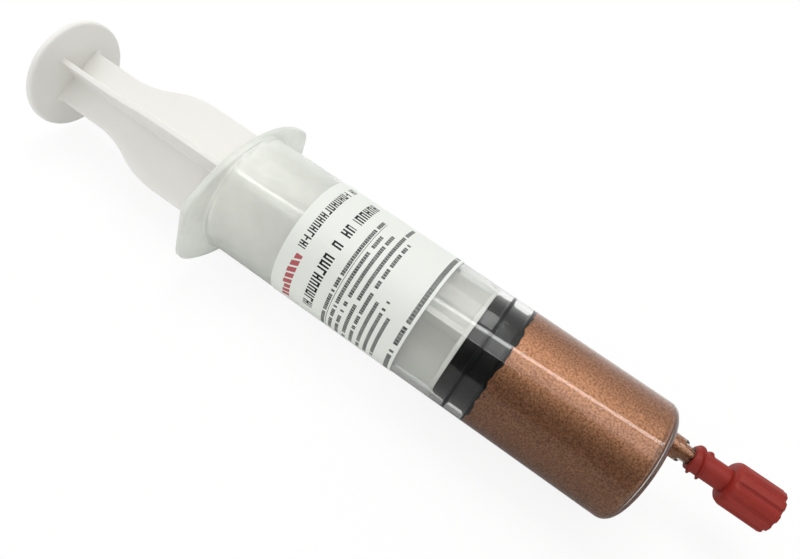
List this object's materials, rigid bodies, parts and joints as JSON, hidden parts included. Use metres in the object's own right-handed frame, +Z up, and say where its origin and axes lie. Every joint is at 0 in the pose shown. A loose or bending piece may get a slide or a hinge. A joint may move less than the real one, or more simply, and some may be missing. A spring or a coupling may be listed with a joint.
{
  "type": "contact paste syringe",
  "caption": "Clear disposable syringe filled with copper contact paste, with finger flange, ribbed plunger, off-centre luer nozzle and a push-on cap.",
  "frame": {"origin": "under the middle of the overall length, on the tube's upright middle plane, at the height of the flange's long side that it lies on", "axes": "+X along the syringe from the thumb disc to the nozzle, +Z up, +Y across, towards the off-centre nozzle"},
  "size_m": [0.2098, 0.0472, 0.0332],
  "materials": {
    "clear_plastic": "clear, slightly cloudy polypropylene",
    "white_plastic": "satin, white polyethylene",
    "black_rubber": "smooth, slightly oiled",
    "copper_paste": "fine-grained grease with copper flakes",
    "red_plastic": "satin, coloured through",
    "label_film": "matt printed film"
  },
  "bodies": {
    "tube": {"barrel": "clear_plastic", "wrap_label": "label_film", "paste_filling": "copper_paste"},
    "rod": {"plunger": "white_plastic", "rubber_piston": "black_rubber"},
    "cap": {"luer_cap": "red_plastic"}
  },
  "joints": [
    {"name": "plunger_slide", "type": "slide", "parent": "tube", "child": "rod", "axis": [1, 0, 0], "range_m": [-0.064, 0.036], "deforming": ["paste_filling"]},
    {"name": "cap_pull", "type": "slide", "parent": "tube", "child": "cap", "axis": [1, 0, 0], "range_m": [0, 0.012]}
  ]
}
